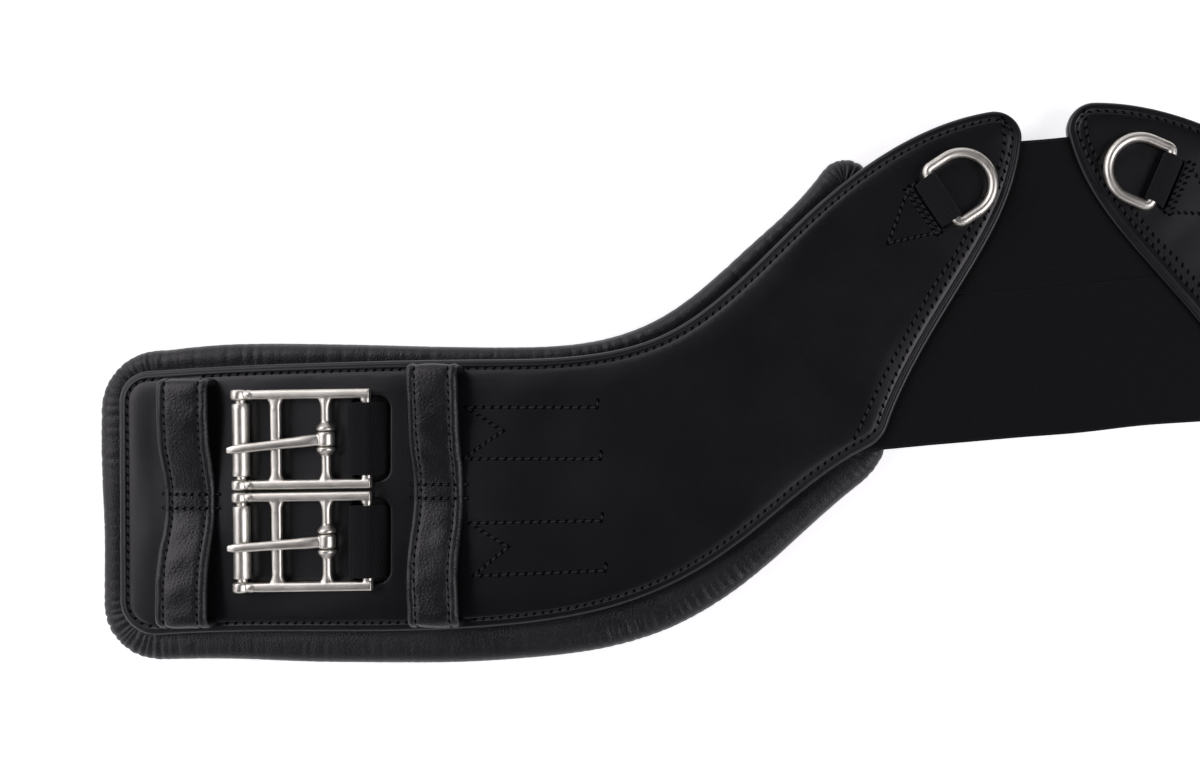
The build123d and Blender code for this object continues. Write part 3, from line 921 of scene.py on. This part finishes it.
def add_stitches(name, stitches):
    both_sides(f"{name}_thread", stitches.threads.all(), THREAD, "{side}_half")
    # the holes' dark beads are painted shade, not real openings
    both_sides(f"{name}_stitch_holes", stitches.holes.all(), PAINTED_HOLE_SHADE, "{side}_half")


add_stitches("panel", stitch_panel())
for name, strap in STRAPS.items():
    add_stitches(f"{name}_keeper", stitch_keeper(strap, KEEPERS[name]))


# -------- buckles

VOXEL = 0.24
CAST_ROUNDS = 5
BUCKLE_Z, BUCKLE_LENGTH, BUCKLE_HALF_IN, SIDE_BAR = 18.3, 46.3, 13.25, 3.3
ROLLER_X, ROLLER_RADIUS, ROLLER_LENGTH, ROLLER_BORE = 3.2, 2.8, 24.2, 1.7
AXLE_RADIUS, MIDDLE_BAR_X, TONGUE_BAR_X, END_BAR_X = 1.6, 14.8, 31.3, 44.8
TONGUE_BAR_RADIUS, CROSS_HALF, MIDDLE_HALF = 1.5, 1.3, 1.75
FOOT_START, FOOT_HALF = 12.25, 1.65
# half width and half height of a side bar, at even steps from the roller to the end bar
SIDE_WIDE = [1.5, 1.62, 1.62, 1.62, 1.62, 1.62]
SIDE_HIGH = [1.5, 1.62, 1.66, 1.66, 1.66, 1.6]
COLLAR_INNER, COLLAR_RADIUS, COLLAR_WIDTH = 2.6, 3.05, 3.0
BUCKLE_TILT = math.radians(0.8)
BUCKLES = {"front": {"u": 39.6, "v": 21.3, "elastic_v": 21.8, "yaw": 5.9},
           "rear": {"u": 40.0, "v": -12.6, "elastic_v": -12.3, "yaw": 3.0}}


def buckle_place(buckle):
    origin = ARM.out([(buckle["u"], buckle["v"], 0)])[0]
    return Place(origin[:2], ARM_TILT + BUCKLE_TILT, BUCKLE_Z)


def turned(profile, x=0.0, sides=40, closed=False):
    """Surface turned about a line along y through x, from (y, radius) pairs."""
    a = np.linspace(0, 2 * np.pi, sides, endpoint=False)
    rows = [np.column_stack([x + r * np.cos(a), np.full(sides, y), r * np.sin(a)]) for y, r in profile]
    return ringed(rows, closed)


def bar(points, wide, high, power):
    """A bar through points, its half sizes given at even steps along it."""
    path = curve(points, 0.6)
    t = np.linspace(0, 1, len(path))
    at = np.linspace(0, 1, len(wide))
    return sweep(path, np.interp(t, at, wide), np.interp(t, at, high), sides=20, power=power)


def frame_shapes():
    """The cast frame's closed parts, which overlap: bars, flares, knobs, collars and axle."""
    shapes = []
    middle = BUCKLE_HALF_IN + SIDE_BAR / 2
    inner = BUCKLE_HALF_IN
    for side in (1, -1):
        y = side * middle
        shapes.append(bar([(4.2, y, 0), (20, y, 0), (34, y, 0), (BUCKLE_LENGTH - 0.2, y, 0)],
                          SIDE_WIDE, SIDE_HIGH, 3.4))
        shapes.append(turned([(y - 1.75, 1.7), (y - 1.6, 2.2), (y - 1.15, 2.5), (y, 2.55), (y + 1.15, 2.5),
                              (y + 1.6, 2.2), (y + 1.75, 1.7)], 2.5))
        nub = BEAD_FINE[0] * (2.3, 1.74, 1.9) + (6.0, y, 0)
        shapes.append((nub, BEAD_FINE[1]))
        collar = [(COLLAR_INNER, 1.7), (COLLAR_INNER + 0.15, COLLAR_RADIUS - 0.35),
                  (COLLAR_INNER + 0.55, COLLAR_RADIUS), (COLLAR_INNER + 1.3, COLLAR_RADIUS - 0.15),
                  (COLLAR_INNER + 2.1, COLLAR_RADIUS - 0.8), (COLLAR_INNER + COLLAR_WIDTH, 1.5)]
        shapes.append(turned([(side * y, r) for y, r in collar][::side], TONGUE_BAR_X))
        # flares where the cross bars join, and the feet beside the elastic
        for x, half, flare, start in ((MIDDLE_BAR_X, MIDDLE_HALF, 1.5, inner - 3.4),
                                      (TONGUE_BAR_X, TONGUE_BAR_RADIUS, 1.5, inner - 3.4),
                                      (END_BAR_X - 0.15, FOOT_HALF, 0.0, FOOT_START)):
            y = np.linspace(start, inner + 1.2, 12)
            wide = half * 0.96 + flare * np.clip((y - y[0]) / 4.2, 0, 1) ** 2.4
            path = np.column_stack([np.full(12, x), y * side, np.zeros(12)])
            shapes.append(sweep(path, wide, np.full(12, CROSS_HALF + 0.08), sides=20, power=2.6))
    for x, wide in ((MIDDLE_BAR_X, MIDDLE_HALF), (END_BAR_X, CROSS_HALF)):
        across = [(x, -inner - 1, 0), (x, 0, 0), (x, inner + 1, 0)]
        shapes.append(bar(across, [wide] * 2, [CROSS_HALF] * 2, 3.0))
    shapes.append(turned([(-inner - 1, TONGUE_BAR_RADIUS), (inner + 1, TONGUE_BAR_RADIUS)], TONGUE_BAR_X))
    shapes.append(turned([(-inner - 2, AXLE_RADIUS), (inner + 2, AXLE_RADIUS)], ROLLER_X))
    return shapes


TONGUE_EYE, TONGUE_EYE_HALF, TONGUE_REACH = 2.85, 2.4, 32.8
TONGUE_LINE = [(-1.9, 0, 1.15), (-4.5, 0, 1.7), (-9, 0, 2.35), (-16, 0, 3.0), (-24, 0, 3.75), (-29, 0, 4.05),
               (-31.5, 0, 3.85), (1.1 - TONGUE_REACH, 0, 3.6)]
# half width and half height of the tongue, at even steps from its eye to its point
TONGUE_WIDE = [1.9, 2.0, 2.0, 1.85, 1.75, 1.68, 1.62, 1.58, 1.55, 1.55, 1.52, 1.45, 1.05]
TONGUE_HIGH = [1.1, 1.3, 1.25, 1.1, 1.0, 0.98, 0.95, 0.92, 0.9, 0.9, 0.9, 0.8, 0.45]


def tongue_shapes(yaw):
    """An eye on the tongue bar and a round-backed shank that lies on the roller."""
    hole = TONGUE_BAR_RADIUS + 0.1
    half = TONGUE_EYE_HALF
    eye = [(-half + 0.2, hole), (-half, hole + 0.3), (-half, TONGUE_EYE - 0.6),
           (-half + 0.25, TONGUE_EYE - 0.15), (-half + 0.8, TONGUE_EYE)]
    eye += [(-y, r) for y, r in eye[::-1]]
    shank = bar(TONGUE_LINE, TONGUE_WIDE, TONGUE_HIGH, 2.2)
    c, s = math.cos(math.radians(yaw)), math.sin(math.radians(yaw))
    turn = np.array([[c, -s, 0], [s, c, 0], [0, 0, 1]])
    lower = np.array([(x, y, max(z, -0.2) if x < -4 else z) for x, y, z in shank[0]])
    points, faces = turned(eye, closed=True)
    return [(points + (TONGUE_BAR_X, 0, 0), faces), (lower @ turn.T + (TONGUE_BAR_X, 0, 0), shank[1])]


def cast(shapes, place):
    """One smooth casting from overlapping closed shapes."""
    soup = Soup()
    for points, faces in shapes:
        soup.add(points, faces)
    points, faces = soup.all()
    skin, quads = remeshed(make_mesh("rough_casting", points, faces), VOXEL, CAST_ROUNDS)
    return place.out(skin), quads


def make_roller():
    """Rolled tube with rounded ends."""
    half = ROLLER_LENGTH / 2
    profile = [(-half + 0.25, ROLLER_BORE), (-half, ROLLER_BORE + 0.25), (-half, ROLLER_RADIUS - 0.45),
               (-half + 0.12, ROLLER_RADIUS - 0.12), (-half + 0.45, ROLLER_RADIUS)]
    profile += [(y, ROLLER_RADIUS) for y in np.linspace(-half + 2, half - 2, 6)]
    profile += [(-y, r) for y, r in profile[4::-1]]
    return turned(profile, ROLLER_X, sides=64, closed=True)


BEAD_FINE = ellipsoid(18, 11)
for end, buckle in BUCKLES.items():
    place = buckle_place(buckle)
    tube, faces = make_roller()
    for piece, node_name, shape in (
            ("cast_frame", "buckle_frame", cast(frame_shapes(), place)),
            ("forged_tongue", "tongue", cast(tongue_shapes(buckle["yaw"]), place)),
            ("roller_tube", "roller", (place.out(tube), faces))):
        body = "buckle" if node_name == "buckle_frame" else node_name
        both_sides(f"{end}_{piece}", shape, STEEL, f"{{side}}_{end}_{body}",
                   (f"{end}_{node_name}",))


# -------- D-ring

D_WIRE, D_HALF, D_CENTRE, D_CORNER = 1.7, 10.5, 7.8, 1.9


def make_d_ring():
    def arc(cx, cy, r, a0, a1, n):
        a = np.radians(np.linspace(a0, a1, n))
        return np.column_stack([cx + r * np.cos(a), cy + r * np.sin(a)])

    r, w = D_CORNER, D_HALF
    path = np.vstack([arc(D_CENTRE, 0, w, -90, 90, 60), arc(r, w - r, r, 90, 180, 10),
                      arc(r, r - w, r, 180, 270, 10)])
    path = smooth(resample(path, 0.45), 2)
    flat = np.column_stack([path, np.full(len(path), D_Z)])
    points, faces = sweep(flat, D_WIRE, D_WIRE, sides=28, closed=True)
    return D_FRAME.out(points), faces


both_sides("d_ring_wire", make_d_ring(), STEEL, "{side}_d_ring", ("d_ring",))


# -------- elastics and webbing

RIB_PITCH = 0.85
STRIP_STEP = 0.14


def ribs(line, pitch, thick, depth):
    """Half thickness along a strip, thinner between its cords."""
    s = np.r_[0, np.cumsum(np.linalg.norm(np.diff(line, axis=0), axis=1))]
    return thick / 2 - depth * (1 - np.abs(np.sin(s * math.pi / pitch)) ** 0.7)


ELASTIC_HALF, ELASTIC_THICK, ELASTIC_LOOP = 12.0, 0.9, 6.1
WINDOW_RIGHT = 91.2


def elastic_line(bar):
    """Middle line of the folded elastic in the arm's (x, z), round the buckle's end bar."""
    half = ELASTIC_THICK / 2
    up, down = CORE_TOP - 0.05 - half, BACKING_TOP + 0.05 + half
    reach = CROSS_HALF + 0.25 + half
    fold = bar - ELASTIC_LOOP + half
    return [(WINDOW_RIGHT + 12, up), (WINDOW_RIGHT + 1, up), (WINDOW_RIGHT - 1.6, up + 0.7),
            (WINDOW_RIGHT - 3.6, up + 4.2), (bar + 1.2, BUCKLE_Z + reach - 0.5),
            (bar - 1.5, BUCKLE_Z + reach),
            (fold + 1.6, BUCKLE_Z + reach - 0.35), (fold, BUCKLE_Z + 0.6), (fold, BUCKLE_Z - 0.6),
            (fold + 1.7, BUCKLE_Z - reach + 0.1), (bar + 0.6, BUCKLE_Z - reach - 0.3),
            (WINDOW_RIGHT - 4.5, down + 2.2), (WINDOW_RIGHT - 1.4, down + 0.3), (WINDOW_RIGHT + 1, down),
            (WINDOW_RIGHT + 12, down)]


def make_buckle_elastic(buckle):
    line = curve(elastic_line(buckle["u"] + END_BAR_X), STRIP_STEP)
    path = np.column_stack([line[:, 0], np.full(len(line), buckle["elastic_v"]), line[:, 1]])
    high = ribs(path, RIB_PITCH, ELASTIC_THICK + 0.06, 0.16)
    points, faces = sweep(path, ELASTIC_HALF, high, sides=28, power=7.0)
    edge = np.abs(points[:, 1] - buckle["elastic_v"]) / ELASTIC_HALF
    points[:, 1] += 0.22 * ripple(points[:, [0, 2]], 7, 61) * edge
    return ARM.out(points), faces


for end, buckle in BUCKLES.items():
    start, stop = (ARM.out([(u, buckle["elastic_v"], 12)])[0]
                   for u in (WINDOW_RIGHT + 8, WINDOW_RIGHT - 3))
    both_sides(f"{end}_folded_elastic", make_buckle_elastic(buckle), BUCKLE_RIBS,
               None, (f"{end}_buckle_elastic",),
               ("{side}_half", f"{{side}}_{end}_elastic_loop", start, stop))

TAPE_HALF, TAPE_THICK = 8.4, 0.8


def make_tape():
    """Doubled webbing from its slot, round the D-ring's bar and back."""
    half = TAPE_THICK / 2
    r = D_WIRE + 0.05 + half
    over = [(-12, 11.6), (-6.2, 11.7), (-4.9, 12.6), (-4.6, 14.9), (-3.3, 17.6)]
    turn = [(r * math.sin(a), D_Z + r * math.cos(a)) for a in np.radians((-25, 10, 50, 90, 130, 165, 195))]
    under = [(-2.2, 15.6), (-3.5, 15.0), (-3.9, 13.6), (-4.1, 11.5), (-5.5, 10.8), (-12, 10.75)]
    line = curve(over + turn + under, STRIP_STEP)
    path = np.column_stack([line[:, 0], np.zeros(len(line)), line[:, 1]])
    points, faces = sweep(path, TAPE_HALF, ribs(path, 1.0, TAPE_THICK, 0.13), sides=26, power=6.0)
    return D_FRAME.out(points), faces


both_sides("webbing_loop", make_tape(), TAPE_WEAVE, "{side}_half", ("d_ring_tape",))

BAND_RIBS = 1.0
BAND_MID = (BACKING_TOP + CORE_TOP) / 2
BAND_THICK = CORE_TOP - BACKING_TOP - 0.1
FOLD_HALF = 8.0
BAND_BLEND_END = 57.0
BAND_OVERLAP = 0.2
POINTS_PER_RIB = 7


def band_corners(node_name):
    """y of a band's two long edges, and x of its left end at each."""
    p = node_points(node_name)
    y0, y1 = p[:, 1].min(), p[:, 1].max()
    return y0, y1, p[p[:, 1] < y0 + 0.1, 0].min(), p[p[:, 1] > y1 - 0.1, 0].min()


def make_band(node_name, x_from, x_to):
    """Ribbed elastic between two x, each a number or None for the band's own slanted end."""
    y0, y1, end0, end1 = band_corners(node_name)
    y0, y1 = y0 - BAND_OVERLAP, y1 + BAND_OVERLAP
    y = np.linspace(y0, y1, int((y1 - y0) / BAND_RIBS * POINTS_PER_RIB))
    rib = 0.13 * (1 - np.abs(np.sin((y - y0) * math.pi / BAND_RIBS)) ** 0.7)
    selvedge = ease(np.minimum(y - y0, y1 - y) / 0.9)
    selvedge_bead = 0.10 * np.exp(-((np.minimum(y - y0, y1 - y) - 1.3) / 0.7) ** 2)
    half = (BAND_THICK / 2 - rib) * (0.45 + 0.55 * selvedge) + selvedge_bead
    slope = np.interp(y, (y0, y1), (end0, end1))
    left = slope if x_from is None else np.full(len(y), x_from)
    right = -slope if x_to is None else np.full(len(y), x_to)
    rows = []
    for t in np.linspace(0, 1, 26):
        x = left + (right - left) * t
        wave = 0.10 * ripple(np.column_stack([x, y]), 30, 71)
        sway = 0.3 * ripple(np.column_stack([x, x * 0]), 50, 72) * np.abs(2 * (y - y0) / (y1 - y0) - 1) ** 6
        upper = np.column_stack([x, y + sway, BAND_MID + wave + half])
        lower = np.column_stack([x, y + sway, BAND_MID + wave - half])
        rows.append(np.vstack([upper, lower[::-1]]))
    soup = Soup().grid(rows, wrap_u=True)
    m = len(rows[0])
    for row, turn in ((rows[0], 1), (rows[-1], -1)):
        soup.add(row, [(k, k + 1, m - 2 - k, m - 1 - k)[::turn] for k in range(len(y) - 1)])
    return soup.all()


for part in ("front", "rear"):
    band = f"centre_elastic_{part}"
    left = make_mesh(f"left_{part}_centre_band", *make_band(band, None, FOLD_HALF))
    right = make_mesh(f"right_{part}_centre_band", *make_band(band, FOLD_HALF, None))
    before, after, end = ((x * MM, 0, 0) for x in (-FOLD_HALF, FOLD_HALF, BAND_BLEND_END))
    finish_piece(left, CENTRE_RIBS, replaces=(band,),
                 blend=("left_half", "centre_elastic", before, after))
    finish_piece(right, CENTRE_RIBS, replaces=(band,),
                 blend=("centre_elastic", "right_half", after, end))


# -------- camera, floor and light

# places, aims and sizes in metres
CAMERA_PLACE = (-0.0959, -0.0050, 0.520)
LIGHT_AIM = (-0.13, 0.0, 0.01)
LIGHT_TINT = (0.97, 0.93, 1.0)
FLOOR_REACH = 40.0
FLOOR_DROP = 0.2


def softbox(name, place, size, power):
    light = bpy.data.lights.new(name, "AREA")
    light.shape, light.size, light.size_y, light.energy = "RECTANGLE", *size, power
    light.color = LIGHT_TINT
    obj = bpy.data.objects.new(name, light)
    bpy.context.scene.collection.objects.link(obj)
    obj.location = place
    obj.rotation_euler = (Vector(LIGHT_AIM) - Vector(place)).to_track_quat("-Z", "Y").to_euler()


def set_stage():
    reach = FLOOR_REACH / MM
    corners = [(x * reach, y * reach, 0) for x, y in ((-1, -1), (1, -1), (1, 1), (-1, 1))]
    floor = make_mesh("floor", corners, [(0, 1, 2, 3)])
    floor.location.z = -FLOOR_DROP * MM
    mat, tree, bsdf = shader("pale_floor", Base_Color=(0.93, 0.93, 0.93, 1), Roughness=0.9,
                             Specular_IOR_Level=0.1, Emission_Color=(1, 1, 1, 1), Emission_Strength=0.6)
    # open from below, so that the side that lies on the horse can be seen
    below, clear, mixed = (node(tree, kind) for kind in
                           ("ShaderNodeNewGeometry", "ShaderNodeBsdfTransparent", "ShaderNodeMixShader"))
    tree.links.new(below.outputs["Backfacing"], mixed.inputs["Fac"])
    tree.links.new(bsdf.outputs["BSDF"], mixed.inputs[1])
    tree.links.new(clear.outputs["BSDF"], mixed.inputs[2])
    tree.links.new(mixed.outputs["Shader"], tree.nodes["Material Output"].inputs["Surface"])
    floor.data.materials.append(mat)

    camera = bpy.data.objects.new("camera", bpy.data.cameras.new("camera"))
    bpy.context.scene.collection.objects.link(camera)
    camera.location = CAMERA_PLACE
    camera.rotation_euler = (0, 0, math.radians(-5))
    camera.data.lens, camera.data.sensor_width = 45.45, 36
    camera.data.shift_x, camera.data.shift_y = -0.15, 0.015
    camera.data.clip_start = 0.01
    bpy.context.scene.camera = camera

    softbox("left_softbox", (-1.1, 0.62, 0.95), (1.5, 1.25), 14)
    softbox("left_low_softbox", (-1.35, -0.6, 0.45), (0.7, 1.2), 4)
    softbox("right_softbox", (0.74, -0.34, 0.84), (0.9, 0.9), 8)
    softbox("front_softbox", (-0.1, -1.5, 0.7), (1.8, 0.7), 4)
    softbox("rear_softbox", (-0.1, 1.5, 0.7), (1.8, 0.7), 4)
    world = bpy.context.scene.world or bpy.data.worlds.new("world")
    bpy.context.scene.world = world
    world.use_nodes = True
    background = world.node_tree.nodes["Background"]
    background.inputs["Color"].default_value = (0.9, 0.92, 1.0, 1)
    background.inputs["Strength"].default_value = 0.02
    bpy.context.scene.view_settings.view_transform = "Standard"


set_stage()
